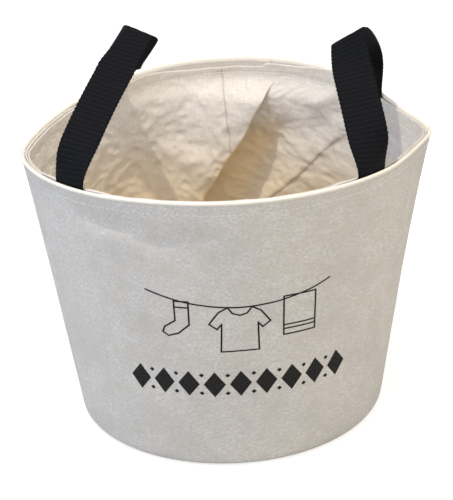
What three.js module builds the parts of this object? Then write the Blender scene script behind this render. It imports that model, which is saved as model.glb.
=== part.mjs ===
// Peg bag: a tapered canvas bucket with an oval base, a loose calico lining and two webbing handles.
// Millimetres, +Z up, the floor at z = 0, the front towards -Y and the side seams on the X axis.

import * as THREE from 'three';

const { degToRad, lerp, smoothstep } = THREE.MathUtils;

// Outer shape
const HEIGHT = 210; // floor to rim at the middle of the front
const MOUTH_WIDTH = 260; // rim, from side seam to side seam
const MOUTH_DEPTH = 200; // rim, from front to back
const BASE_WIDTH = 208;
const BASE_DEPTH = 168;
const BASE_PINCH = 0.5; // an ellipse
const MOUTH_PINCH = 0.69; // more than an ellipse, so the side seams are drawn out to corners
const CORNER_DROP = 12; // how much lower the rim is at the side seams
const BACK_LIFT = 4.5; // how much higher the rim stands at the right of the back
const LIFT_ACROSS = [-0.1, 0.75]; // shares of the width over which that lift comes in to the right
const LIFT_ALONG = [0, 0.5]; // and of the depth, to the back
const BASE_ROUND = 6; // soft edge between wall and base

// Cloth
const CANVAS = 0.9; // outer cotton duck
const CALICO = 0.5; // lining
const BINDING = 0.6; // folded strip that faces the rim
const LAYER_GAP = 0.3; // between layers that are sewn together
const HEM = 12; // outer panels turned in at the rim
const FACING_HEIGHT = 10;
const FACING_SET = 1; // the facing's fold sits this much under the hem's
const EDGE_DROP = 2.4; // the lining's turned edge sits this much under the rim
const TURN_UNDER = 6; // lining turned under at that edge
const LINING_SLACK = 8; // how far in from the canvas the lining hangs
const SLACK_START = 55; // below the rim, where that slack is reached
const JOIN_OFFSET = 33; // the facing's join, to the right of the middle of the back

// Webbing handles
const WEBBING_WIDTH = 25;
const WEBBING = 1.4;
const STRAP_TUCK = 22; // sewn in below the rim
const STRAP_BEND = 18; // bends freely just above the rim
const RIM_CLEAR = 0.7; // between the sewn-in end and the stretch that bends
const STRAP_LIFT = 18; // how stiffly a strap stands up out of the rim
const FACING_EASE = 10; // over which the facing eases off a strap end

// frontSet, backSet: strap ends, in from the side seam at the front and back of the rim
// rise, lean: height along the lean, and the lean towards the middle in degrees
// foldBack: how far the fold lies behind the middle of the handle
// foldSlope, foldTurn: degrees that the fold slopes, and is turned from the X axis seen from above
// foldLength: how stiffly the strap curves over at the fold
// twist: length over which the strap turns from the rim's direction to the fold's
// skew: how far the strap slants outwards as it crosses its fold
// backAim: how far the back of the strap leans to the fold straight away, as a share
const HANDLES = {
  left: {
    side: -1, frontSet: 29, backSet: 50, rise: 73.6, lean: 32.2, foldBack: 10.7,
    foldSlope: 7.5, foldTurn: -42, foldLength: 7, twist: 45, skew: 0, backAim: 0.8,
  },
  right: {
    side: 1, frontSet: 44, backSet: 28, rise: 60.2, lean: 13.6, foldBack: 11,
    foldSlope: 35.5, foldTurn: -22, foldLength: 8, twist: 60, skew: 5.7, backAim: 0,
  },
};

// Number of steps
const ROUND_STEPS = 72; // round the whole bag
const WALL_ROWS = 6;
const LINING_ROWS = 4; // below the stretch where the lining eases in
const ARC_STEPS = 2;
const LOOP_STEPS = 96;
const BEND_STEPS = 12;
const STRAP_END_STEPS = 6;

// Layers at the rim, as depths in from the outer face
const HEM_FOLD = CANVAS + LAYER_GAP / 2;
const STRAP_DEPTH = 2 * HEM_FOLD + LAYER_GAP;
const FACING_DEPTH = STRAP_DEPTH;
const FACING_FOLD = BINDING + LAYER_GAP / 2;
const FACING_TOP = HEIGHT - FACING_SET;
const FACING_LOW = FACING_TOP - FACING_HEIGHT;
const EDGE_DEPTH = FACING_DEPTH + 2 * FACING_FOLD + LAYER_GAP;
const EDGE_FOLD = CALICO + LAYER_GAP / 2;
const LINING_TOP = HEIGHT - EDGE_DROP;
const LINING_FLOOR = CANVAS + LAYER_GAP;
const LINING_BOTTOM = LINING_FLOOR + CALICO + LAYER_GAP;

const CANVAS_CLOTH = { color: 0xe3ded5, roughness: 0.95, metalness: 0 };
const CALICO_CLOTH = { color: 0xe9dcc0, roughness: 0.97, metalness: 0 };
const BINDING_CLOTH = { color: 0xcfc8bf, roughness: 0.95, metalness: 0 };
const BLACK_WEBBING = { color: 0x15161a, roughness: 0.8, metalness: 0 };

// A point of the wall, by the angle round the bag, the height up the wall and the depth in from its face.
function wallPoint(angle, height, depth) {
  const rise = height / HEIGHT;
  const pinch = lerp(BASE_PINCH, MOUTH_PINCH, smoothstep(rise, 0, 1));
  const halfWidth = lerp(BASE_WIDTH, MOUTH_WIDTH, rise) / 2 - depth;
  const halfDepth = lerp(BASE_DEPTH, MOUTH_DEPTH, rise) / 2 - depth;
  const across = Math.cos(angle);
  const along = Math.sin(angle);
  const lift = BACK_LIFT * smoothstep(across, ...LIFT_ACROSS) * smoothstep(along, ...LIFT_ALONG);
  return new THREE.Vector3(
    halfWidth * across,
    halfDepth * Math.sign(along) * Math.abs(along) ** (2 * pinch),
    height + (lift - CORNER_DROP * across ** 2) * rise ** 2,
  );
}

// The unit direction of the rim at an angle, and the millimetres of rim to a radian there.
function rimRun(angle) {
  const step = 0.001;
  const before = wallPoint(angle - step, HEIGHT, STRAP_DEPTH);
  const run = wallPoint(angle + step, HEIGHT, STRAP_DEPTH).sub(before);
  const speed = run.length() / (2 * step);
  return { direction: run.normalize(), speed };
}

function spread(from, to, steps) {
  return Array.from({ length: steps + 1 }, (_, i) => lerp(from, to, i / steps));
}

// Angles once round the bag, from one side of a slit to the other, on the same steps for every layer.
function roundFrom(start) {
  const slit = LAYER_GAP / rimRun(start).speed;
  const end = start + 2 * Math.PI;
  const steps = spread(0, 4 * Math.PI, 2 * ROUND_STEPS);
  return [start + slit, ...steps.filter((angle) => angle > start + 2 * slit && angle < end - slit), end];
}

function solid(positions, indices) {
  const geometry = new THREE.BufferGeometry();
  geometry.setAttribute('position', new THREE.Float32BufferAttribute(positions, 3));
  geometry.setIndex(indices);
  faceOutwards(geometry);
  geometry.computeVertexNormals();
  return geometry;
}

// Turns every triangle round if the solid came out inside out.
function faceOutwards(geometry) {
  const point = geometry.getAttribute('position');
  const index = geometry.getIndex().array;
  const corners = [new THREE.Vector3(), new THREE.Vector3(), new THREE.Vector3()];
  let volume = 0;
  for (let i = 0; i < index.length; i += 3) {
    corners.forEach((corner, k) => corner.fromBufferAttribute(point, index[i + k]));
    volume += corners[0].dot(corners[1].cross(corners[2]));
  }
  if (volume > 0) return;
  for (let i = 0; i < index.length; i += 3) {
    [index[i + 1], index[i + 2]] = [index[i + 2], index[i + 1]];
  }
}

// Sweeps a closed outline through a row of stations and closes both ends.
function sweep(outline, stations, place) {
  const contour = THREE.ShapeUtils.isClockWise(outline) ? [...outline].reverse() : outline;
  const count = contour.length;
  const ring = (station) => contour.flatMap((point) => place(point, station).toArray());
  const positions = stations.flatMap(ring);
  const indices = [];
  for (let s = 0; s < stations.length - 1; s++) {
    for (let i = 0; i < count; i++) {
      const here = s * count + i;
      const next = s * count + ((i + 1) % count);
      indices.push(here, next, next + count, here, next + count, here + count);
    }
  }
  const last = (stations.length - 1) * count;
  for (const [a, b, c] of THREE.ShapeUtils.triangulateShape(contour, [])) {
    indices.push(c, b, a, last + a, last + b, last + c);
  }
  return solid(positions, indices);
}

// Outer panel: rounded in under the base at the bottom and turned in as a hem at the rim.
function panelOutline() {
  const rows = spread(BASE_ROUND, HEIGHT - HEM_FOLD, WALL_ROWS).slice(1, -1);
  const path = new THREE.Path();
  path.moveTo(BASE_ROUND, 0);
  path.absarc(BASE_ROUND, BASE_ROUND, BASE_ROUND, 1.5 * Math.PI, Math.PI, true);
  rows.forEach((row) => path.lineTo(0, row));
  path.absarc(HEM_FOLD, HEIGHT - HEM_FOLD, HEM_FOLD, Math.PI, 0, true);
  path.lineTo(2 * HEM_FOLD, HEIGHT - HEM);
  path.lineTo(CANVAS + LAYER_GAP, HEIGHT - HEM);
  path.lineTo(CANVAS + LAYER_GAP, HEIGHT - HEM_FOLD);
  path.lineTo(CANVAS, HEIGHT - HEM_FOLD);
  rows.reverse().forEach((row) => path.lineTo(CANVAS, row));
  path.absarc(BASE_ROUND, BASE_ROUND, BASE_ROUND - CANVAS, Math.PI, 1.5 * Math.PI, false);
  return path.getPoints(ARC_STEPS);
}

function panel(side) {
  const angles = spread(0, side * Math.PI, ROUND_STEPS / 2);
  return sweep(panelOutline(), angles, ({ x: depth, y: height }, angle) => {
    const point = wallPoint(angle, height, depth);
    point.y += (side * LAYER_GAP) / 2;
    return point;
  });
}

function oval(inset, bottom, thickness) {
  const shape = new THREE.Shape();
  shape.absellipse(0, 0, BASE_WIDTH / 2 - inset, BASE_DEPTH / 2 - inset, 0, 2 * Math.PI, false);
  const geometry = new THREE.ExtrudeGeometry(shape, {
    depth: thickness,
    curveSegments: ROUND_STEPS / 2,
    bevelEnabled: false,
  });
  return geometry.translate(0, 0, bottom);
}

// Where a handle's front or back end comes out of the rim.
function strapExit({ side, frontSet, backSet }, face) {
  const x = side * (MOUTH_WIDTH / 2 - (face < 0 ? frontSet : backSet));
  return face * Math.acos(x / (MOUTH_WIDTH / 2));
}

// How far the facing and lining stand in to make room for the strap ends.
function strapRoom(angle) {
  const here = wallPoint(angle, HEIGHT, STRAP_DEPTH);
  const room = WEBBING + LAYER_GAP;
  const covered = WEBBING_WIDTH / 2 + FACING_EASE;
  const shares = Object.values(HANDLES).flatMap((handle) => [-1, 1].map((face) => {
    const away = here.distanceTo(wallPoint(strapExit(handle, face), HEIGHT, STRAP_DEPTH));
    return 1 - smoothstep(away, covered, covered + FACING_EASE);
  }));
  return room * Math.max(...shares);
}

// Folded strip round the inside of the rim.
function facing() {
  const shoulder = FACING_TOP - FACING_FOLD;
  const path = new THREE.Path();
  path.moveTo(0, FACING_LOW);
  path.absarc(FACING_FOLD, shoulder, FACING_FOLD, Math.PI, 0, true);
  path.lineTo(2 * FACING_FOLD, FACING_LOW);
  path.lineTo(BINDING + LAYER_GAP, FACING_LOW);
  path.lineTo(BINDING + LAYER_GAP, shoulder);
  path.lineTo(BINDING, shoulder);
  path.lineTo(BINDING, FACING_LOW);
  const join = Math.acos(JOIN_OFFSET / (MOUTH_WIDTH / 2));
  return sweep(path.getPoints(ARC_STEPS), roundFrom(join), ({ x: depth, y: height }, angle) =>
    wallPoint(angle, height, FACING_DEPTH + strapRoom(angle) + depth));
}

// Lining wall: one wrap of calico, its seam down the middle of the back and its top edge turned under.
function liningWall() {
  const slackTop = LINING_TOP - SLACK_START;
  const shoulder = LINING_TOP - EDGE_FOLD;
  const low = LINING_TOP - TURN_UNDER;
  const easing = spread(slackTop, FACING_LOW, WALL_ROWS).slice(1);
  const rows = [...spread(LINING_BOTTOM, slackTop, LINING_ROWS), ...easing];
  const path = new THREE.Path();
  path.moveTo(CALICO + LAYER_GAP, rows[0]);
  rows.slice(1).forEach((row) => path.lineTo(CALICO + LAYER_GAP, row));
  path.lineTo(CALICO + LAYER_GAP, shoulder);
  path.lineTo(CALICO, shoulder);
  path.lineTo(CALICO, low);
  path.lineTo(0, low);
  path.absarc(EDGE_FOLD, shoulder, EDGE_FOLD, Math.PI, 0, true);
  rows.reverse().forEach((row) => path.lineTo(2 * EDGE_FOLD, row));
  const seam = Math.PI / 2;
  return sweep(path.getPoints(ARC_STEPS), roundFrom(seam), ({ x: depth, y: height }, angle) => {
    const held = smoothstep(height, slackTop, FACING_LOW);
    const hang = lerp(LINING_SLACK, EDGE_DEPTH + strapRoom(angle), held);
    return wallPoint(angle, height, hang + depth);
  });
}

// Sewn-in end of a strap, flat against the hem.
function strapEnd(handle, face) {
  const exit = strapExit(handle, face);
  const halfWidth = WEBBING_WIDTH / 2 / rimRun(exit).speed;
  const outline = [
    new THREE.Vector2(0, HEIGHT - STRAP_TUCK),
    new THREE.Vector2(WEBBING, HEIGHT - STRAP_TUCK),
    new THREE.Vector2(WEBBING, HEIGHT),
    new THREE.Vector2(0, HEIGHT),
  ];
  const angles = spread(exit - halfWidth, exit + halfWidth, STRAP_END_STEPS);
  return sweep(outline, angles, ({ x: depth, y: height }, angle) =>
    wallPoint(angle, height, STRAP_DEPTH + depth));
}

// The line that a handle's webbing follows, and the direction of its width along the way.
function handleRun(handle) {
  const { side, rise, lean, foldBack, foldSlope, foldTurn, foldLength, twist, skew, backAim } = handle;
  const [front, back] = [-1, 1].map((face) => {
    const angle = strapExit(handle, face);
    const width = rimRun(angle).direction;
    return {
      point: wallPoint(angle, HEIGHT, STRAP_DEPTH + WEBBING / 2),
      width: width.multiplyScalar(Math.sign(width.x)),
    };
  });
  const tilt = degToRad(lean);
  const top = front.point.clone().lerp(back.point, 0.5);
  top.x -= side * rise * Math.sin(tilt);
  top.y += foldBack;
  top.z += rise * Math.cos(tilt);
  const lifted = ({ point, width }, aim) => {
    const up = new THREE.Vector3(0, 0, 1).lerp(top.clone().sub(point).normalize(), aim);
    return up.projectOnPlane(width).setLength(STRAP_LIFT).add(point);
  };
  const slope = degToRad(foldSlope);
  const turn = degToRad(foldTurn);
  const foldWidth = new THREE.Vector3(
    Math.cos(slope) * Math.cos(turn),
    Math.cos(slope) * Math.sin(turn),
    side * Math.sin(slope),
  );
  const over = new THREE.Vector3(0, 0, 1).cross(foldWidth).normalize().multiplyScalar(foldLength);
  over.x += side * skew;
  const path = new THREE.CurvePath();
  path.add(new THREE.CubicBezierCurve3(front.point, lifted(front, 0), top.clone().sub(over), top));
  path.add(new THREE.CubicBezierCurve3(top, top.clone().add(over), lifted(back, backAim), back.point));
  const length = path.getLength();
  const widthAt = (share) => {
    const end = share < 0.5 ? front : back;
    const above = Math.min(share, 1 - share) * length;
    return end.width.clone().lerp(foldWidth, smoothstep(above, 0, twist));
  };
  return { path, widthAt, length };
}

// A stretch of a handle's webbing, between two lengths along it.
function webbing({ path, widthAt, length }, from, to, steps) {
  const outline = [[-1, -1], [1, -1], [1, 1], [-1, 1]].map(([across, through]) =>
    new THREE.Vector2((across * WEBBING_WIDTH) / 2, (through * WEBBING) / 2));
  const shares = spread(from / length, to / length, steps);
  return sweep(outline, shares, ({ x: across, y: through }, share) => {
    const tangent = path.getTangentAt(share);
    const width = widthAt(share);
    width.divideScalar(tangent.clone().cross(width).length());
    const normal = tangent.cross(width);
    return path.getPointAt(share).addScaledVector(width, across).addScaledVector(normal, through);
  });
}

const bag = new THREE.Group();

function piece(name, geometry, finish) {
  const mesh = new THREE.Mesh(geometry, new THREE.MeshStandardMaterial(finish));
  mesh.name = name;
  bag.add(mesh);
}

piece('front_panel', panel(-1), CANVAS_CLOTH);
piece('back_panel', panel(1), CANVAS_CLOTH);
piece('base_panel', oval(BASE_ROUND + LAYER_GAP, 0, CANVAS), CANVAS_CLOTH);
piece('rim_facing', facing(), BINDING_CLOTH);
piece('lining_wall', liningWall(), CALICO_CLOTH);
piece('lining_base', oval(BASE_ROUND + LAYER_GAP, LINING_FLOOR, CALICO), CALICO_CLOTH);

for (const [name, handle] of Object.entries(HANDLES)) {
  const run = handleRun(handle);
  const far = run.length - STRAP_BEND;
  const strip = (from, to, steps) => webbing(run, from, to, steps);
  piece(`${name}_handle_loop`, strip(STRAP_BEND + LAYER_GAP, far - LAYER_GAP, LOOP_STEPS), BLACK_WEBBING);
  piece(`${name}_handle_front_bend`, strip(RIM_CLEAR, STRAP_BEND, BEND_STEPS), BLACK_WEBBING);
  piece(`${name}_handle_back_bend`, strip(far, run.length - RIM_CLEAR, BEND_STEPS), BLACK_WEBBING);
  piece(`${name}_handle_front_end`, strapEnd(handle, -1), BLACK_WEBBING);
  piece(`${name}_handle_back_end`, strapEnd(handle, 1), BLACK_WEBBING);
}

export default bag;
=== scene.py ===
"""Peg bag: a lined canvas bucket with webbing loop handles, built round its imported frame."""

import math

import bmesh
import bpy
from bpy.props import FloatProperty, FloatVectorProperty, PointerProperty
from mathutils import Matrix, Vector, noise
from mathutils.geometry import interpolate_bezier


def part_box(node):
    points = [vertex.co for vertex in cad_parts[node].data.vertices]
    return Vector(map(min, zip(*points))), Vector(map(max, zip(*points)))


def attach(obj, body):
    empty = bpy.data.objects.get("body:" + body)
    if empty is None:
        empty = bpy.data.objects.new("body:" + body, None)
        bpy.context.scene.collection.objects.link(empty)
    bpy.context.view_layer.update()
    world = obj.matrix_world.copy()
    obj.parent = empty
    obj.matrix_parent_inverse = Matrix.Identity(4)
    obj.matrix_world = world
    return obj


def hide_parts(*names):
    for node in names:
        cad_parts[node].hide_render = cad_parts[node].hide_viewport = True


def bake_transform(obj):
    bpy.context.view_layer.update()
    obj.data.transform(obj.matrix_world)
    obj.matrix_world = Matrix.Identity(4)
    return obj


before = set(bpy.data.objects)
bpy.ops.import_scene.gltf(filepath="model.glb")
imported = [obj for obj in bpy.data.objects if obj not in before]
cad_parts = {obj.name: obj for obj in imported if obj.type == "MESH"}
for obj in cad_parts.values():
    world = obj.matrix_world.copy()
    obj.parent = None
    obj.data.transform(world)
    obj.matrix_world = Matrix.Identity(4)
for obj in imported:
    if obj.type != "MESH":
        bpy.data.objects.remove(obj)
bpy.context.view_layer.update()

bl_info = {
    "name": "Peg Bag",
    "version": (1, 0, 0),
    "blender": (4, 5, 0),
    "location": "View3D > Sidebar > Peg Bag",
    "description": "Builds a lined canvas peg bag with webbing loop handles",
    "category": "Add Mesh",
}

# Boxes of the frame's nodes
FRONT_LOW, FRONT_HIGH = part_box("front_panel")
BASE_LOW, BASE_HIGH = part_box("base_panel")

# Gap between layers of cloth, the round where the panels turn in under the base, and straight up
LAYER_GAP = 0.0003
BASE_ROUND = 0.006
UP = Vector((0.0, 0.0, 1.0))

# The wall, with runs in shares of its half width, and of its half depth where they say so
BACK = math.pi / 2
FRONT = -math.pi / 2
BASE_PINCH = 0.5
CORNER_RUN = (0.72, 0.95)
FULL_RUN = (0.15, 0.70)
BACK_CORNER = 2.3
LIFT_RUN = (-0.1, 0.75)
LIFT_DEPTH_RUN = (0.0, 0.5)
BACK_DIP = 0.0022
BACK_DIP_AT, BACK_DIP_WIDE = 0.89, 0.08
BACK_DIP_DEPTH_RUN = (0.0, 0.2)
FINE_STEPS = 8

# Waves of the canvas: how close they are round the bag and up it, where they start, and their share
WAVES = ((2.4, 2.1, 7.3, 1.0), (6.0, 7.5, 1.9, 0.45))

# The lining's turned edge: its fold in thicknesses, where it dips at the back, and its puckers
EDGE_FOLD = 1.1
DIP_RUN = (-0.055, -0.010)
DIP_DEPTH_RUN = (0.0, 0.3)
DIP_LOST = 0.7
DIP_END = 0.004
EDGE_LOST = 0.95
EDGE_RUN_OUT = (0.050, 0.080)
EDGE_DEPTH_RUN = (0.0, 0.25)
PUCKER = 0.0006
PUCKERS_ROUND = 9.0


def length(name, description, default):
    """A property for a length in metres."""
    return FloatProperty(
        name=name, description=description, default=default, min=0.0, unit="LENGTH", precision=4
    )


def angle_of(name, description, degrees):
    """A property for an angle."""
    return FloatProperty(
        name=name, description=description, default=math.radians(degrees), unit="ROTATION"
    )


def share_of(name, description, default):
    """A property for a share."""
    return FloatProperty(
        name=name, description=description, default=default, min=0.0, max=1.0, subtype="FACTOR"
    )


def power(name, description, default):
    """A property for a lamp's strength in watts."""
    return FloatProperty(name=name, description=description, default=default, min=0.0, unit="POWER")


def colour(name, description, default):
    """A property for a colour, in linear values."""
    return FloatVectorProperty(
        name=name, description=description, default=default, size=3, subtype="COLOR", min=0.0, max=1.0
    )


class PegBagShape(bpy.types.PropertyGroup):
    """Sizes of the outer bag"""

    height: length("Height", "Floor to rim at the middle of the front", FRONT_HIGH[2])
    mouth_width: length("Mouth width", "Rim from seam to seam", FRONT_HIGH[0] - FRONT_LOW[0])
    mouth_depth: length("Mouth depth", "Rim from front to back", -2 * FRONT_LOW[1] - LAYER_GAP)
    base_width: length(
        "Base width", "Base from side to side", BASE_HIGH[0] - BASE_LOW[0] + 2 * (BASE_ROUND + LAYER_GAP)
    )
    base_depth: length(
        "Base depth", "Base from front to back", BASE_HIGH[1] - BASE_LOW[1] + 2 * (BASE_ROUND + LAYER_GAP)
    )
    mouth_pinch: share_of("Mouth pinch", "Half is an ellipse, more draws out the corners", 0.69)
    corner_drop: length("Corner drop", "How much lower the rim is at the side seams", 0.012)
    back_lift: length("Back lift", "How much higher the rim stands at the right of the back", 0.0045)
    corner_draw: length("Corner draw", "How far the right corner of the rim is drawn out", 0.003)
    corner_pinch: share_of("Corner pinch", "How much sharper the right corner of the rim is", 0.15)
    left_fullness: share_of("Left fullness", "How much rounder the rim is at the left of the front", 0.07)
    give: length("Give", "How far the canvas waves in and out", 0.0015)
    canvas: length("Canvas", "Thickness of the outer cloth", 0.0009)
    hem: length("Hem", "Depth of the outer cloth turned in at the rim", 0.012)
    stitch_drop: length("Stitch drop", "From the rim down to the topstitching", 0.0095)


class PegBagLining(bpy.types.PropertyGroup):
    """Sizes of the lining and of the strip that faces the rim"""

    calico: length("Calico", "Thickness of the lining", 0.0005)
    binding: length("Binding", "Thickness of the folded strip", 0.0006)
    facing_height: length("Facing height", "Height of the folded strip", 0.010)
    facing_set: length("Facing set", "The strip's fold sits this much under the hem's", 0.001)
    facing_lap: length("Facing lap", "Overlap where the strip's ends join", 0.007)
    join_offset: length("Join offset", "The join, to the right of the middle of the back", 0.033)
    edge_drop: length("Edge drop", "From the rim down to the lining's turned edge", 0.0024)
    edge_dip: length("Edge dip", "How much lower that edge lies at the middle of the back", 0.0033)
    turn_under: length("Turn under", "Allowance turned under at that edge", 0.006)
    slack: length("Slack", "How far in from the canvas the lining hangs", 0.008)
    slack_start: length("Slack start", "Below the rim, where that slack is reached", 0.055)
    fold_depth: length("Fold depth", "How far the long fold stands in", 0.015)
    crumple: length("Crumple", "Height of the small creases", 0.0016)


class PegBagWebbing(bpy.types.PropertyGroup):
    """Sizes of the webbing that both handles share"""

    width: length("Width", "Width of the webbing", 0.025)
    thickness: length("Thickness", "Thickness of the webbing", 0.0014)
    rib_pitch: length("Rib pitch", "From one crosswise rib to the next", 0.0030)
    rib_height: length("Rib height", "How far a rib stands up", 0.00028)
    cord_pitch: length("Cord pitch", "From one lengthwise cord to the next", 0.0022)
    tuck: length("Tuck", "Length sewn in below the rim", 0.022)
    bend: length("Bend", "Length above the rim that bends", 0.018)
    lift: length("Lift", "How stiffly a strap stands up out of the rim", 0.018)
    ease: length("Ease", "Over which the facing eases off a strap end", 0.010)


# How the handles lie: a property, its kind, name and description, and its values at the left and right
HANDLE_LIE = (
    ("front_set", length, "Front set", "Strap from the side seam at the front", 0.029, 0.044),
    ("back_set", length, "Back set", "Strap from the side seam at the back", 0.050, 0.028),
    ("rise", length, "Rise", "Height along its lean", 0.0742, 0.0602),
    ("lean", angle_of, "Lean", "Lean towards the middle", 31.4, 13.6),
    ("fold_back", length, "Fold back", "The fold lies this much behind the middle", 0.0107, 0.011),
    ("fold_slope", angle_of, "Fold slope", "Slope of the fold", 0.0, 35.5),
    ("fold_turn", angle_of, "Fold turn", "Turn of the fold seen from above", -50.0, -22.0),
    ("fold_length", length, "Fold length", "How stiffly it curves over at the top", 0.007, 0.0055),
    ("twist", length, "Twist", "Over which it turns from the rim to its fold", 0.028, 0.030),
    ("skew", length, "Skew", "How far the strap slants outwards as it crosses its fold", 0.0, 0.0028),
    ("facing", share_of, "Facing", "How far its front leg faces forwards half way up", 0.60, 0.75),
    ("back_aim", share_of, "Back aim", "How far its back end leans to the fold straight away", 1.0, 0.0),
    (
        "back_twist", length, "Back twist", "Over which its back leg turns from the rim to its fold",
        0.050, 0.045,
    ),
    ("back_bow", length, "Back bow", "How far its back leg is drawn towards the middle", 0.0042, 0.003),
    ("back_ease", share_of, "Back ease", "How gently its back leg leaves the fold", 0.28, 0.9),
)


def handle_lie(column):
    """The properties of one handle, with the defaults in its column."""
    return {
        key: kind(name, description, values[column])
        for key, kind, name, description, *values in HANDLE_LIE
    }


class PegBagLeftHandle(bpy.types.PropertyGroup):
    """Lie of the left handle"""

    __annotations__ = handle_lie(0)


class PegBagRightHandle(bpy.types.PropertyGroup):
    """Lie of the right handle"""

    __annotations__ = handle_lie(1)


class PegBagColours(bpy.types.PropertyGroup):
    """Colours of the cloths, thread, webbing and ink"""

    canvas: colour("Canvas", "Outer cotton duck", (0.755, 0.733, 0.703))
    facing: colour("Facing", "Folded strip inside the rim", (0.72, 0.675, 0.63))
    calico: colour("Calico", "Unbleached lining", (0.80, 0.755, 0.71))
    fleck: colour("Fleck", "Seed flecks in the calico", (0.33, 0.22, 0.12))
    webbing: colour("Webbing", "Handles", (0.0036, 0.0041, 0.0062))
    thread: colour("Thread", "Topstitching", (0.86, 0.84, 0.80))
    ink: colour("Ink", "Print on the front", (0.012, 0.011, 0.011))
    floor: colour("Floor", "Surface that the bag stands on", (0.46, 0.46, 0.46))


class PegBagStage(bpy.types.PropertyGroup):
    """Camera and lamps"""

    distance: length("Distance", "Camera to the point it looks at", 1.0)
    aim: length("Aim height", "Height of the point that the camera looks at", 0.126)
    elevation: angle_of("Elevation", "Camera above the horizon", 31.35)
    heading: angle_of("Heading", "Camera to the left of the middle", 3.52)
    roll: angle_of("Roll", "Camera turned about its view", -1.63)
    lens: FloatProperty(name="Lens", description="Focal length", default=108.9, unit="CAMERA")
    shift_x: FloatProperty(name="Shift across", description="Share of the image", default=-0.0033)
    shift_y: FloatProperty(name="Shift up", description="Share of the image", default=-0.0270)
    key: power("Key", "Strength of the sharp lamp", 13.0)
    front: power("Front", "Strength of the soft lamp in front", 2.8)
    fill: power("Fill", "Strength of the fill lamps", 4.9)
    world: share_of("World", "Strength of the surrounding light", 0.64)


class PegBagSettings(bpy.types.PropertyGroup):
    """All settings of the peg bag"""

    shape: PointerProperty(type=PegBagShape)
    lining: PointerProperty(type=PegBagLining)
    webbing: PointerProperty(type=PegBagWebbing)
    left_handle: PointerProperty(type=PegBagLeftHandle)
    right_handle: PointerProperty(type=PegBagRightHandle)
    colours: PointerProperty(type=PegBagColours)
    stage: PointerProperty(type=PegBagStage)


def settings():
    return bpy.context.scene.peg_bag


def lerp(a, b, share):
    return a + (b - a) * share


def smoothstep(value, low=0.0, high=1.0):
    share = min(max((value - low) / (high - low), 0.0), 1.0)
    return share * share * (3.0 - 2.0 * share)


def hump(value, width):
    """A soft bump, 1 at zero."""
    return math.exp(-((value / width) ** 2))


def spread(start, end, steps):
    return [lerp(start, end, i / steps) for i in range(steps + 1)]


def arc(centre, radius, start, end, steps):
    """Points of an arc in the plane of depth and height, by angles in quarter turns."""
    turns = [math.radians(90 * q) for q in spread(start, end, steps)]
    return [(centre[0] + radius * math.cos(t), centre[1] + radius * math.sin(t)) for t in turns]


def runs_along(points):
    """Length from the first point of a line to each of its points."""
    runs = [0.0]
    for a, b in zip(points, points[1:]):
        runs.append(runs[-1] + math.dist(a, b))
    return runs


def run_length(points):
    return runs_along(points)[-1]


def even_places(runs, steps):
    """For even steps along a line, the number of the point before each and the share on to the next."""
    k = 0
    for target in spread(0.0, runs[-1], steps):
        while k < len(runs) - 2 and runs[k + 1] < target:
            k += 1
        share = (target - runs[k]) / (runs[k + 1] - runs[k])
        yield k, min(max(share, 0.0), 1.0)


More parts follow.
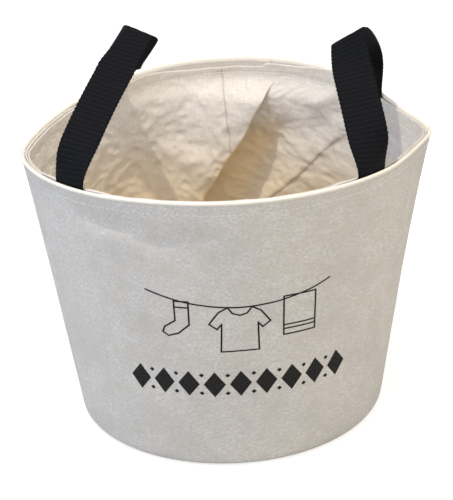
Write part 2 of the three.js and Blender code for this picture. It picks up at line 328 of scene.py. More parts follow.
class Wall:
    """The bag's wall as a formula, which every layer of cloth follows."""

    def __init__(self):
        shape = settings().shape
        lining = settings().lining
        webbing = settings().webbing
        self.height = shape.height
        self.mouth = (shape.mouth_width / 2, shape.mouth_depth / 2)
        self.base = (shape.base_width / 2, shape.base_depth / 2)
        self.pinch = shape.mouth_pinch
        self.corner = (shape.corner_draw, shape.corner_pinch, shape.left_fullness)
        self.drop = shape.corner_drop
        self.lift = shape.back_lift
        self.give = shape.give
        self.hem_fold = shape.canvas + LAYER_GAP / 2
        self.strap_depth = 2 * self.hem_fold + LAYER_GAP
        self.strap_room = webbing.thickness + LAYER_GAP
        self.facing_fold = lining.binding + LAYER_GAP / 2
        self.facing_top = shape.height - lining.facing_set
        self.facing_low = self.facing_top - lining.facing_height
        self.edge_fold = EDGE_FOLD * lining.calico
        self.lining_depth = self.strap_depth + 2 * (self.facing_fold + self.edge_fold) + LAYER_GAP
        self.stitch = shape.height - shape.stitch_drop
        self.covered = webbing.width / 2 + webbing.ease
        self.ease = webbing.ease
        self.exits = [
            self.point(strap_exit(side, face), self.height, self.strap_depth)
            for side in (-1, 1) for face in (-1, 1)
        ]

    def point(self, angle, height, depth):
        """The place at an angle round the bag, a height up the wall and a depth in from its face."""
        rise = height / self.height
        across, along = math.cos(angle), math.sin(angle)
        draw, sharp, full = self.corner
        tip = smoothstep(across, *CORNER_RUN)
        pinch = self.pinch + sharp * tip * (BACK_CORNER if along > 0 else 1.0)
        pinch -= full * smoothstep(-across, *FULL_RUN) * (along < 0)
        pinch = lerp(BASE_PINCH, pinch, smoothstep(rise))
        depth -= self.waves(across, along, rise)
        half_width = self.half_width(height) - depth
        half_depth = lerp(self.base[1], self.mouth[1], rise) - depth
        lift = self.lift * smoothstep(across, *LIFT_RUN) * smoothstep(along, *LIFT_DEPTH_RUN)
        dip = hump(across - BACK_DIP_AT, BACK_DIP_WIDE) * smoothstep(along, *BACK_DIP_DEPTH_RUN)
        lift -= BACK_DIP * dip
        return Vector((
            half_width * across + draw * tip * rise ** 2,
            half_depth * math.copysign(abs(along) ** (2 * pinch), along),
            height + (lift - self.drop * across ** 2) * rise ** 2,
        ))

    def half_width(self, height):
        """Half the width of the wall's face at a height."""
        return lerp(self.base[0], self.mouth[0], height / self.height)

    def waves(self, across, along, rise):
        """Soft waves of the canvas, still at the rim, the base and the side seams."""
        still = math.sin(math.pi * min(max(rise, 0.0), 1.0)) * abs(along)
        moved = 0.0
        for around, up, start, share in WAVES:
            moved += share * noise.noise(Vector((around * across, around * along, up * rise + start)))
        return self.give * still * moved

    def run(self, angle, height=None):
        """Direction along the wall at an angle, and the metres to a radian there."""
        step = 0.001
        height = self.height if height is None else height
        before = self.point(angle - step, height, self.strap_depth)
        along = self.point(angle + step, height, self.strap_depth) - before
        return along.normalized(), along.length / (2 * step)

    def room(self, angle):
        """How far the facing and lining stand in to make room for the strap ends."""
        here = self.point(angle, self.height, self.strap_depth)
        nearest = min((here - point).length for point in self.exits)
        return self.strap_room * (1 - smoothstep(nearest, self.covered, self.covered + self.ease))

    def lining_top(self, angle):
        """Height of the lining's turned edge, which dips at the back as far as the facing's join."""
        lining = settings().lining
        across = self.mouth[0] * math.cos(angle)
        at_back = math.sin(angle)
        dip = smoothstep(across, *DIP_RUN) * smoothstep(at_back, *DIP_DEPTH_RUN)
        dip *= 1 - DIP_LOST * smoothstep(across, lining.join_offset, lining.join_offset + DIP_END)
        dip *= 1 - smoothstep(across, *EDGE_RUN_OUT)
        pucker = PUCKER * noise.noise(Vector((math.cos(angle), at_back, 0.3)) * PUCKERS_ROUND)
        at_top = smoothstep(across, *EDGE_RUN_OUT) * smoothstep(at_back, *EDGE_DEPTH_RUN)
        drop = lining.edge_drop * (1 - EDGE_LOST * at_top)
        return self.height - drop - lining.edge_dip * dip + pucker

    def even_angles(self, start, end, steps):
        """Angles that share out the rim between two angles evenly by length."""
        fine = spread(start, end, FINE_STEPS * steps)
        runs = runs_along([self.point(a, self.height, 0.0) for a in fine])
        return [lerp(fine[k], fine[k + 1], share) for k, share in even_places(runs, steps)]


def handle_of(side):
    return settings().left_handle if side < 0 else settings().right_handle


def strap_exit(side, face):
    """The angle at which a handle's front or back end comes out of the rim."""
    handle = handle_of(side)
    half_mouth = settings().shape.mouth_width / 2
    inset = handle.front_set if face < 0 else handle.back_set
    return face * math.acos(side * (half_mouth - inset) / half_mouth)


# Vertices closer than this are one
MERGE = 1e-6


def lay_sheet(mesh, columns, rows, place, cut, deep=None):
    """A flat sheet with a vertex for each column and row, laid out by place; its UV map keeps the cut."""
    uv = mesh.loops.layers.uv.get("cut") or mesh.loops.layers.uv.new("cut")
    # The layer named deep carries each vertex's share of painted warm shade
    shade_layer = mesh.verts.layers.float.new("deep") if deep else None
    wide, high = len(columns) - 1, len(rows) - 1
    made = bmesh.ops.create_grid(mesh, x_segments=wide, y_segments=high, size=0.5)["verts"]
    at = {}
    for vertex in made:
        column = columns[round((vertex.co.x + 0.5) * wide)]
        row = rows[round((vertex.co.y + 0.5) * high)]
        at[vertex] = (column, row)
    for face in {face for vertex in made for face in vertex.link_faces}:
        for loop in face.loops:
            loop[uv].uv = cut(*at[loop.vert])
    for vertex, (column, row) in at.items():
        vertex.co = place(column, row)
        if deep:
            vertex[shade_layer] = deep(vertex.co)
    return made


def finish_piece(name, mesh, material, smooth=True):
    """Turns a bmesh into an object of the scene with one material."""
    data = bpy.data.meshes.new(name)
    for face in mesh.faces:
        face.smooth = smooth
    mesh.to_mesh(data)
    mesh.free()
    data.materials.append(material)
    piece = bpy.data.objects.new(name, data)
    bpy.context.scene.collection.objects.link(piece)
    return piece


def thicken(piece, thickness, offset):
    """Cloth thickness, inwards for an offset of -1 and outwards for 1."""
    shell = piece.modifiers.new("thickness", "SOLIDIFY")
    shell.thickness = thickness
    shell.offset = offset
    shell.use_even_offset = True


# Materials


class Finish:
    """A material whose nodes are added one by one."""

    def __init__(self, name):
        self.material = bpy.data.materials.new(name)
        self.material.use_nodes = True
        self.tree = self.material.node_tree
        self.shader = self.tree.nodes["Principled BSDF"]

    def set(self, name, value):
        self.plug(self.shader.inputs[name], value)

    def plug(self, socket, value):
        if isinstance(value, bpy.types.NodeSocket):
            self.tree.links.new(value, socket)
        else:
            socket.default_value = value

    def add(self, kind, inputs, output=0, **options):
        node = self.tree.nodes.new(kind)
        for key, value in options.items():
            setattr(node, key, value)
        for key, value in inputs.items():
            self.plug(node.inputs[key], value)
        return node.outputs[output]

    def math(self, operation, a, b=0.0):
        return self.add("ShaderNodeMath", {0: a, 1: b}, operation=operation)

    def times(self, a, b):
        return self.math("MULTIPLY", a, b)

    def mix(self, share, a, b):
        return self.add("ShaderNodeMix", {"Factor": share, 6: a, 7: b}, output=2, data_type="RGBA")

    def axes(self, vector):
        """The first two axes of a vector."""
        return [self.add("ShaderNodeSeparateXYZ", {0: vector}, output=i) for i in (0, 1)]

    def cut(self):
        """The piece's own UV map, in metres on the flat cut."""
        return self.add("ShaderNodeUVMap", {}, uv_map="cut")

    def fade(self, value, low, high, start=0.0, end=1.0):
        """A value moved from one range to another, clamped."""
        inputs = {"Value": value, "From Min": low, "From Max": high, "To Min": start, "To Max": end}
        return self.add("ShaderNodeMapRange", inputs)

    def noise(self, vector, scale, detail=2.0, roughness=0.5):
        inputs = {"Vector": vector, "Scale": scale, "Detail": detail, "Roughness": roughness}
        return self.add("ShaderNodeTexNoise", inputs)

    def stretched(self, vector, size, turn=0.0):
        """A vector in units of the given sizes, after a turn."""
        inputs = {"Vector": vector, "Scale": (*size, 1.0), "Rotation": (0.0, 0.0, turn)}
        return self.add("ShaderNodeMapping", inputs, vector_type="TEXTURE")

    def bump(self, height, strength, distance):
        inputs = {"Height": height, "Strength": strength, "Distance": distance}
        return self.add("ShaderNodeBump", inputs)


def opaque(rgb):
    return (*rgb, 1.0)


def shaded(rgb, *factors):
    """An opaque colour times one factor, or times a factor for each channel."""
    factors = factors if len(factors) == 3 else 3 * factors
    return opaque(min(c * f, 1.0) for c, f in zip(rgb, factors))


def plain_weave(finish, cut, warp, weft):
    """Height of a plain weave with the given thread pitches, on the cut's own coordinates."""
    x, y = finish.axes(cut)
    across = finish.math("SINE", finish.times(x, math.pi / warp))
    along = finish.math("SINE", finish.times(y, math.pi / weft))
    over = finish.math("GREATER_THAN", finish.times(across, along), 0.0)
    inputs = {0: over, 2: finish.math("ABSOLUTE", along), 3: finish.math("ABSOLUTE", across)}
    return finish.add("ShaderNodeMix", inputs, data_type="FLOAT")


# Thin creases along the lining's seams, drawn as dark lines of painted shade: their width, and how dark
# that shade is
CREASE = 0.0007
CREASE_SHADE = 0.34


def crease_mask(finish, cut, start, end):
    """A thin wavering line on the cut from one place to another, 1 on the line, where painted shade
    darkens a crease.
    """
    run = Vector(end) - Vector(start)
    inputs = {
        "Vector": cut,
        "Location": (*start, 0.0),
        "Rotation": (0.0, 0.0, math.atan2(run.y, run.x)),
        "Scale": (run.length, CREASE, 1.0),
    }
    along, off = finish.axes(finish.add("ShaderNodeMapping", inputs, vector_type="TEXTURE"))
    waver = finish.fade(finish.noise(cut, 120.0), 0.3, 0.7, -0.8, 0.8)
    near = finish.fade(finish.math("ABSOLUTE", finish.math("ADD", off, waver)), 0.3, 1.1, 1.0, 0.0)
    ends = finish.times(finish.fade(along, 0.0, 0.03), finish.fade(along, 0.97, 1.0, 1.0, 0.0))
    return finish.times(near, ends)


# Slubs: their width in threads, and how long they are along warp and weft
SLUB_WIDE = 1.25
SLUB_LONG = (0.0062, 0.0071)

# Speckles, blotches and clouds in cotton: noise scale, detail and roughness, range, share and shade
PATCHES = (
    (480.0, 2.0, 0.75, (0.40, 0.72), 1.0, (0.72, 0.72, 0.72)),
    (70.0, 4.0, 0.65, (0.42, 0.74), 1.0, (0.86, 0.82, 0.76)),
    (21.0, 3.0, 0.55, (0.44, 0.72), 0.6, (0.72, 0.72, 0.72)),
)
# Painted shade: a warmer, darker tone where the lining lies deep
PAINTED_SHADE_TINT = (1.12, 0.96, 0.68)
# Painted highlight: the canvas's rim roll is paler above an edge, which is blurred over this span
ROLL_HIGHLIGHT_TINT = (1.22, 1.19, 1.12)
ROLL_HIGHLIGHT_BLUR = (-0.0006, 0.0004)
BUMP = 0.00035


def woven_finish(
    name, rgb, warp, weft, slub, mottle, relief, fleck=None, creases=(), twill=0.0, edge=None
):
    """Matt plain-woven cotton with painted shade in the dips of its weave; unbleached it has seed flecks,
    creases drawn dark as painted shade and a painted warm shade deep down; above an edge it is paler, as a
    painted highlight.
    """
    finish = Finish(name)
    cut = finish.cut()
    weave = plain_weave(finish, cut, warp, weft)
    warp_slub = finish.noise(finish.stretched(cut, (SLUB_WIDE * warp, SLUB_LONG[0]), twill), 1.0)
    weft_slub = finish.noise(finish.stretched(cut, (SLUB_LONG[1], SLUB_WIDE * weft), 0.5 * twill), 1.0)
    slubs = finish.times(finish.math("ADD", warp_slub, weft_slub), 0.5)
    tone = finish.mix(finish.fade(slubs, 0.36, 0.64), shaded(rgb, 1 - slub), shaded(rgb, 1 + slub))
    for scale, detail, roughness, span, share, factors in PATCHES:
        patch = finish.noise(cut, scale, detail, roughness)
        tone = finish.mix(finish.fade(patch, *span, 0.0, share * mottle), tone, shaded(rgb, *factors))
    # Painted shade: the cloth is darker in the dips of its weave
    tone = finish.mix(finish.fade(weave, 0.0, 0.45, 0.16, 0.0), tone, shaded(rgb, 0.45))
    lumps = finish.math("ADD", finish.times(weave, 0.55), finish.times(slubs, 1.1))
    if fleck:
        speck = finish.noise(finish.stretched(cut, (1.0, 1.8)), 520.0, 1.0)
        tone = finish.mix(finish.fade(speck, 0.735, 0.80, 0.0, 0.55), tone, opaque(fleck))
        # Painted warm shade, by how deep each place of the lining lies
        deep = finish.add("ShaderNodeAttribute", {}, output=2, attribute_name="deep")
        tone = finish.mix(deep, tone, shaded(rgb, *PAINTED_SHADE_TINT))
        wrinkle = finish.fade(finish.noise(cut, 110.0, 3.0, 0.6), 0.3, 0.7, -1.0, 1.0)
        lumps = finish.math("SUBTRACT", lumps, finish.times(finish.math("ABSOLUTE", wrinkle), 1.5))
    # Painted highlight: paler above the edge
    if edge:
        above = finish.fade(finish.axes(cut)[1], edge + ROLL_HIGHLIGHT_BLUR[0], edge + ROLL_HIGHLIGHT_BLUR[1], 0.0, 0.75)
        tone = finish.mix(above, tone, shaded(rgb, *ROLL_HIGHLIGHT_TINT))
    # Painted shade: each crease darkened along its line
    for start, end in creases:
        mask = finish.times(crease_mask(finish, cut, start, end), CREASE_SHADE)
        tone = finish.mix(mask, tone, opaque(fleck))
    finish.set("Base Color", tone)
    finish.set("Roughness", 0.93)
    finish.set("Specular IOR Level", 0.18)
    finish.set("Sheen Weight", 0.12)
    finish.set("Sheen Roughness", 0.6)
    finish.set("Normal", finish.bump(lumps, relief, BUMP))
    return finish.material


def webbing_finish(rgb, pitch, cord):
    """Black ribbed webbing: dull yarn whose floats make a grid of fine dots along the ribs, with painted
    shade in the dips between floats and between ribs.
    """
    finish = Finish("black_webbing")
    cut = finish.cut()
    yarn = finish.noise(cut, 900.0, 2.0, 0.6)
    dust = finish.noise(cut, 140.0, 3.0, 0.6)
    floats = plain_weave(finish, cut, pitch, cord)
    along = finish.axes(cut)[0]
    rib = finish.math("ABSOLUTE", finish.math("SINE", finish.times(along, math.pi / pitch)))
    tone = finish.mix(finish.fade(yarn, 0.35, 0.68), shaded(rgb, 0.4), shaded(rgb, 2.6))
    # Painted shade: darker in the dips between floats and between ribs
    tone = finish.mix(finish.fade(floats, 0.2, 0.8, 0.7, 0.0), tone, shaded(rgb, 0.3))
    tone = finish.mix(finish.fade(rib, 0.2, 0.8, 0.6, 0.0), tone, shaded(rgb, 0.25))
    tone = finish.mix(finish.fade(dust, 0.55, 0.8, 0.0, 0.25), tone, opaque((0.011, 0.0115, 0.014)))
    finish.set("Base Color", tone)
    finish.set("Roughness", finish.fade(yarn, 0.3, 0.7, 0.62, 0.82))
    finish.set("Specular IOR Level", 0.10)
    finish.set("Normal", finish.bump(yarn, 0.55, 0.0003))
    return finish.material


def thread_finish(rgb):
    """Cotton thread with its twist."""
    finish = Finish("cotton_thread")
    place = finish.add("ShaderNodeTexCoord", {}, output=3)
    ply = finish.noise(place, 2600.0, 2.0)
    finish.set("Base Color", finish.mix(ply, shaded(rgb, 0.78), shaded(rgb, 1.1)))
    finish.set("Roughness", 0.8)
    finish.set("Specular IOR Level", 0.25)
    finish.set("Normal", finish.bump(ply, 0.5, 0.0002))
    return finish.material


def ink_finish(rgb, canvas, warp, weft):
    """Screen-print ink, a little broken where the weave dips."""
    finish = Finish("print_ink")
    cut = finish.cut()
    weave = plain_weave(finish, cut, warp, weft)
    wear = finish.noise(cut, 900.0, 3.0, 0.7)
    thin = finish.times(finish.fade(weave, 0.0, 0.35, 1.0, 0.0), finish.fade(wear, 0.5, 0.68))
    bare = finish.fade(thin, 0.0, 1.0, 0.0, 0.35)
    finish.set("Base Color", finish.mix(bare, opaque(rgb), opaque(canvas)))
    finish.set("Roughness", 0.85)
    finish.set("Specular IOR Level", 0.2)
    finish.set("Normal", finish.bump(weave, 0.35, 0.0002))
    return finish.material


# Thread pitches of the canvas
WARP, WEFT = 0.00072, 0.00084


def canvas_material():
    # Where the rim roll starts on the cut; above it the canvas is painted paler as a highlight
    edge = settings().shape.height + BASE_ROUND * (math.pi / 2 - 1) - 2 * ROLL
    return bpy.data.materials.get("cotton_duck") or woven_finish(
        "cotton_duck", settings().colours.canvas, WARP, WEFT,
        slub=0.15, mottle=0.80, relief=0.6, twill=-0.75, edge=edge,
    )


def calico_material(creases=()):
    colours = settings().colours
    return bpy.data.materials.get("unbleached_calico") or woven_finish(
        "unbleached_calico", colours.calico, 0.00055, 0.0006,
        slub=0.08, mottle=0.42, relief=0.5, fleck=colours.fleck, creases=creases,
    )


def facing_material():
    return bpy.data.materials.get("facing_tape") or woven_finish(
        "facing_tape", settings().colours.facing, 0.0006, 0.0006, slub=0.06, mottle=0.4, relief=0.45
    )


# Outer panels: rows and columns, the rolled side edges, the row of stitching and the roll along the rim
PANEL_COLUMNS = 170
BASE_ROWS = 6
WALL_ROWS = 84
TOP_ROWS = 4
ROLL_ROWS = 14
HEM_ROWS = 6
SEAM_ROLL = 0.0012
SEAM_RUN = 0.004
STITCH_BAND = 0.004
STITCH_ROWS = 14
STITCH_DENT = 0.00012
STITCH_DENT_WIDE = 0.0011
ROLL = 0.00145
ROLL_START = 2.5

# Dents in the front: place across, drop from the rim, half sizes and depth
DENTS = (
    (-0.073, 0.021, 0.020, 0.0075, 0.0021),
    (-0.050, 0.031, 0.012, 0.0050, 0.0013),
    (-0.024, 0.027, 0.011, 0.0055, 0.0015),
)


def panel_profile(wall):
    """Depth and height from the edge under the base, up the wall, over the rim and down the hem."""
    fold = wall.hem_fold
    top = wall.height - ROLL
    low, high = wall.stitch - STITCH_BAND, wall.stitch + STITCH_BAND
    rows = arc((BASE_ROUND, BASE_ROUND), BASE_ROUND, 3, 2, BASE_ROWS)
    rows += [(0.0, h) for h in spread(BASE_ROUND, low, WALL_ROWS)[1:]]
    rows += [(0.0, h) for h in spread(low, high, STITCH_ROWS)[1:]]
    rows += [(0.0, h) for h in spread(high, top - ROLL, TOP_ROWS)[1:]]
    rows += arc((2 * fold - ROLL, top), ROLL, ROLL_START, 0, ROLL_ROWS)
    rows += [(2 * fold, h) for h in spread(top, wall.height - settings().shape.hem, HEM_ROWS)[1:]]
    return rows


def dented(wall, angle, height):
    """How far in the front's dents draw the canvas."""
    across, drop = wall.mouth[0] * math.cos(angle), wall.height - height
    return sum(deep * hump(across - x, wide) * hump(drop - z, high) for x, z, wide, high, deep in DENTS)


def outer_panel(wall, face):
    """Front or back canvas panel, its top edge turned in as a hem and its sides rolled into the seams."""
    start = -math.pi if face < 0 else 0.0
    angles = wall.even_angles(start, start + math.pi, PANEL_COLUMNS)
    profile = panel_profile(wall)
    half_runs = [
        run_length([wall.point(a, h, 0.0) for a in angles]) / 2 for h in (BASE_ROUND, wall.height)
    ]
    up = runs_along(profile)

    def place(column, row):
        depth, height = profile[row]
        share = column / PANEL_COLUMNS
        half_run = lerp(*half_runs, height / wall.height)
        to_seam = 2 * half_run * min(share, 1 - share)
        depth += SEAM_ROLL * (1 - smoothstep(to_seam, 0.0, SEAM_RUN)) ** 2
        if depth < wall.hem_fold:
            depth += STITCH_DENT * hump(height - wall.stitch, STITCH_DENT_WIDE)
            depth += dented(wall, angles[column], height) if face < 0 else 0.0
        point = wall.point(angles[column], height, depth)
        point.y += face * LAYER_GAP / 2
        return point

    def cut(column, row):
        half_run = lerp(*half_runs, profile[row][1] / wall.height)
        return ((2 * column / PANEL_COLUMNS - 1) * half_run, up[row])

    mesh = bmesh.new()
    lay_sheet(mesh, range(PANEL_COLUMNS + 1), range(len(profile)), place, cut)
    name = "front_canvas" if face < 0 else "back_canvas"
    piece = finish_piece(name, mesh, canvas_material())
    thicken(piece, settings().shape.canvas, -1.0)
    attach(piece, "bag")
    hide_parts("front_panel" if face < 0 else "back_panel")


class PEGBAG_OT_outer_panels(bpy.types.Operator):
    """Sew the front and back canvas panels, hemmed at the rim"""

    bl_idname = "pegbag.outer_panels"
    bl_label = "Outer panels"

    def execute(self, context):
        wall = Wall()
        for face in (-1, 1):
            outer_panel(wall, face)
        return {"FINISHED"}


OVAL_STEPS = 120


def oval_sheet(name, bottom, thickness, material):
    """A flat oval of cloth that fits inside the panels' turned-in edges."""
    shape = settings().shape
    half_width = shape.base_width / 2 - BASE_ROUND - LAYER_GAP
    half_depth = shape.base_depth / 2 - BASE_ROUND - LAYER_GAP
    mesh = bmesh.new()
    uv = mesh.loops.layers.uv.new("cut")
    bmesh.ops.create_circle(mesh, cap_ends=True, cap_tris=True, segments=OVAL_STEPS, radius=1.0)
    bmesh.ops.scale(mesh, vec=(half_width, half_depth, 1.0), verts=mesh.verts)
    bmesh.ops.translate(mesh, vec=(0.0, 0.0, bottom), verts=mesh.verts)
    for face in mesh.faces:
        for loop in face.loops:
            loop[uv].uv = loop.vert.co.xy
    bmesh.ops.recalc_face_normals(mesh, faces=mesh.faces)
    piece = finish_piece(name, mesh, material)
    thicken(piece, thickness, 1.0)
    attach(piece, "bag")
    return piece


class PEGBAG_OT_base(bpy.types.Operator):
    """Cut the oval canvas base"""

    bl_idname = "pegbag.base"
    bl_label = "Base"

    def execute(self, context):
        piece = oval_sheet("base_canvas", 0.0, settings().shape.canvas, canvas_material())
        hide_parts("base_panel")
        return {"FINISHED"}


# Rim facing: columns, and rows up its outer side, over its fold and down its inner side
FACING_COLUMNS = 300
FACING_ROWS = (7, 8, 9)


class PEGBAG_OT_facing(bpy.types.Operator):
    """Fold the strip that faces the rim, its ends lapped at the back"""

    bl_idname = "pegbag.facing"
    bl_label = "Rim facing"

    def execute(self, context):
        wall = Wall()
        lining = settings().lining
        fold = wall.facing_fold
        shoulder = wall.facing_top - fold
        outside, over, inside = FACING_ROWS
        profile = [(0.0, h) for h in spread(wall.facing_low, shoulder, outside)[:-1]]
        profile += arc((fold, shoulder), fold, 2, 0, over)
        profile += [(2 * fold, h) for h in spread(shoulder, wall.facing_low, inside)[1:]]
        seam = math.acos(2 * lining.join_offset / settings().shape.mouth_width)
        lap = lining.facing_lap / wall.run(seam)[1]
        angles = wall.even_angles(seam - lap, seam + 2 * math.pi, FACING_COLUMNS)
        around = run_length([wall.point(a, wall.height, wall.strap_depth) for a in angles])
        up = runs_along(profile)

        def place(column, row):
            depth, height = profile[row]
            angle = angles[column]
            lapped = 1 - smoothstep(angle, seam, seam + lap)
            inner = lapped * lining.binding * (depth > fold)
            return wall.point(angle, height, wall.strap_depth + wall.room(angle) + depth + inner)

        def cut(column, row):
            return (around * column / FACING_COLUMNS, up[row])

        mesh = bmesh.new()
        lay_sheet(mesh, range(FACING_COLUMNS + 1), range(len(profile)), place, cut)
        piece = finish_piece("facing_strip", mesh, facing_material())
        thicken(piece, lining.binding, -1.0)
        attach(piece, "bag")
        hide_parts("rim_facing")
        return {"FINISHED"}


# The lining's lines, by height up the wall and place across the back, to the right of its middle
FOLD_LINE = (
    (0.206, 0.0416), (0.190, 0.0335), (0.176, 0.0240), (0.159, 0.0158), (0.149, 0.0060),
    (0.1315, -0.0063), (0.117, -0.0170), (0.060, -0.0480), (0.0, -0.066),
)
RIDGE_LINE = ((0.161, -0.048), (0.153, -0.037), (0.138, -0.013), (0.129, -0.002))
SEAM_LINE = ((0.2045, 0.0045), (0.149, 0.0096))
SLANT_LINE = ((0.178, 0.0900), (0.153, 0.0725), (0.130, 0.0562), (0.109, 0.0355), (0.080, 0.010))
LINE_SMOOTH = (-0.005, -0.0025, 0.0, 0.0025, 0.005)

# The long fold: heights where it starts and is full, its run, and how it turns in behind its lip
FOLD_TOP, FOLD_FULL = 0.201, 0.185
FOLD_LOW_FULL, FOLD_LOW = 0.100, 0.030
FOLD_RUN = 0.060
FOLD_TURN_IN = 0.014
FOLD_LIP = 0.003
FOLD_UNDER = 0.005
FOLD_SPENT = 0.090

# Right of the fold: a brow at the top, a hollow under it, and the hollow's flank in shares of its width
BROW = 0.0065
BROW_LOW, BROW_HIGH = 0.147, 0.181
BROW_RUN = (0.030, 0.054)
HOLLOW = 0.0045
HOLLOW_WIDE = (0.033, 0.052)
HOLLOW_TOP, HOLLOW_LOW = 0.172, 0.110
HOLLOW_EDGE = (0.65, 1.15)
FLANK = 0.004
FLANK_AT, FLANK_WIDE = 1.35, 0.35

# Small forms: a ridge, a swell, a knot, and the step and groove of a seam with their runs
RIDGE, RIDGE_WIDE = 0.0035, 0.009
RIDGE_SPAN = (0.02, 0.9)
SWELL = 0.005
SWELL_AT = (0.178, -0.028)
SWELL_WIDE = (0.026, 0.040)
KNOT, KNOT_WIDE = 0.0016, 0.0024
KNOT_AT = (0.152, 0.0720)
SEAM_STEP = (0.0006, (0.0, 0.001), 0.0008, 0.0007)
SLANT_STEP = (0.0014, (-0.0005, 0.0008), 0.0005, 0.0009)
SEAM_FADE = 0.006

# Small creases: their pitches, their middle height as a share, and where they start
CRUMPLES = (0.034, 0.015, 0.007)
CRUMPLE_MIDDLE = 0.25
CRUMPLE_START = Vector((3.1, 7.7, 1.3))

# Painted warm shade in the lining's hollow and low down, standing in for light bounced between folds of
# calico
SUNK_START = (-0.004, 0.002)
SUNK_EDGE = (0.6, 1.2)
LOW_START, LOW_RUN = 0.180, 0.070
LOW_SHADE_SHARE = 0.75


def along_line(line, height):
    """The place across of a line of the lining at a height, smoothed over its corners."""
    total = 0.0
    for offset in LINE_SMOOTH:
        h = height + offset
        for (high, a), (low, b) in zip(line, line[1:]):
            if h >= low or low == line[-1][0]:
                total += lerp(b, a, (h - low) / (high - low))
                break
    return total / len(LINE_SMOOTH)


def from_line(line, height, across):
    """Signed distance from a line, to the right and below, and how far along it as a share."""
    best = None
    spot = Vector((across, height))
    for i, ((high, a), (low, b)) in enumerate(zip(line, line[1:])):
        start, run = Vector((a, high)), Vector((b - a, low - high))
        share = min(max((spot - start).dot(run) / run.length_squared, 0.0), 1.0)
        off = spot - start - run * share
        if best is None or off.length < abs(best[0]):
            side = math.copysign(1.0, run.x * off.y - run.y * off.x)
            best = (side * off.length, (i + share) / (len(line) - 1))
    return best


def across_hollow(right, height):
    """How far across the hollow a place to the right of the fold lies, about 1 at its edge."""
    return right / lerp(*HOLLOW_WIDE, smoothstep(HOLLOW_TOP - height, 0.0, HOLLOW_TOP - HOLLOW_LOW))


def hollow(right, height):
    """How far in the lining stands to the right of its fold: a brow, a hollow under it and its flank."""
    wide = across_hollow(right, height)
    below = FLANK * hump(wide - FLANK_AT, FLANK_WIDE) - HOLLOW * (1 - smoothstep(wide, *HOLLOW_EDGE))
    below *= smoothstep(height, FOLD_LOW, FOLD_LOW_FULL)
    brow = BROW * (1 - smoothstep(right, *BROW_RUN))
    return lerp(below, brow, smoothstep(height, BROW_LOW, BROW_HIGH))


def painted_shade_in(spot):
    """How far a place of the lining lies in the hollow or low down, where a warmer tone is painted on as
    shade.
    """
    if spot.y <= 0:
        return 0.0
    right = spot.x - along_line(FOLD_LINE, spot.z)
    sunk = (1 - smoothstep(spot.z, BROW_LOW, BROW_HIGH)) * smoothstep(right, *SUNK_START)
    sunk *= 1 - smoothstep(across_hollow(right, spot.z), *SUNK_EDGE)
    return max(sunk, LOW_SHADE_SHARE * smoothstep(LOW_START - spot.z, 0.0, LOW_RUN))


def seam_relief(off, step, rise, groove, groove_wide):
    """Relief of a seam: a step that fades off on one side, and a narrow groove."""
    return step * smoothstep(off, *rise) * hump(off, SEAM_FADE) - groove * hump(off, groove_wide)


def lining_shape(across, height):
    """How far in the lining stands at a place across the back, and how far it slides to the right."""
    strength = smoothstep(FOLD_TOP - height, 0.0, FOLD_TOP - FOLD_FULL)
    strength *= smoothstep(height, FOLD_LOW, FOLD_LOW_FULL)
    lip = settings().lining.fold_depth * strength
    away = across - along_line(FOLD_LINE, height)
    spent = (FOLD_LIP - FOLD_TURN_IN - FOLD_UNDER) * strength
    if away <= 0:
        inwards = lip * smoothstep(1 + away / FOLD_RUN)
        slide = FOLD_LIP * strength * smoothstep(1 + away / (0.5 * FOLD_RUN))
    elif away < FOLD_TURN_IN:
        turned = smoothstep(away / FOLD_TURN_IN)
        slide = lerp(FOLD_LIP * strength, spent, turned)
        inwards = lerp(lip, hollow(away + slide, height), turned)
    else:
        slide = spent * (1 - smoothstep(away - FOLD_TURN_IN, 0.0, FOLD_SPENT))
        inwards = hollow(away + slide, height)
    seen = across + slide
    off, share = from_line(RIDGE_LINE, height, seen)
    share = min(max(share, RIDGE_SPAN[0]), RIDGE_SPAN[1])
    inwards += RIDGE * hump(off, RIDGE_WIDE) * math.sin(math.pi * share)
    swell = hump(height - SWELL_AT[0], SWELL_WIDE[0]) * hump(seen - SWELL_AT[1], SWELL_WIDE[1])
    inwards += SWELL * swell
    inwards += seam_relief(from_line(SEAM_LINE, height, seen)[0], *SEAM_STEP)
    inwards += seam_relief(-from_line(SLANT_LINE, height, seen)[0], *SLANT_STEP)
    inwards += KNOT * hump(math.dist(KNOT_AT, (height, seen)), KNOT_WIDE)
    return inwards, slide


def crumples(place):
    """Small creases, sharper than waves."""
    ridged = 0.0
    for pitch in CRUMPLES:
        ridged += CRUMPLE_MIDDLE - abs(noise.noise(place / pitch + CRUMPLE_START))
    return settings().lining.crumple * ridged


# Lining wall: rows and columns, its stitched edge, and where it hangs free
LINING_ROWS_SEEN = 96
LINING_ROWS_LOW = 26
LINING_COLUMNS_BACK = 150
LINING_COLUMNS_SIDE = 90
SEEN_FROM = 0.45
BACK_FLANK = math.radians(48)
EDGE_RUN = 0.004
EDGE_ROWS = 10
FOLD_ROWS = 6
TURN_ROWS = 4
EDGE_DENT, EDGE_DENT_WIDE = 0.0003, 0.0014
HANG_RUN = 0.014
HANG_LOW = 0.020
BACK_RUN = (0.15, 0.5)
LEAST_TURN = 0.3
HELD_CRUMPLE = 0.25
LEAST_ROOM = 0.001
SLIDE_TRIES = 6


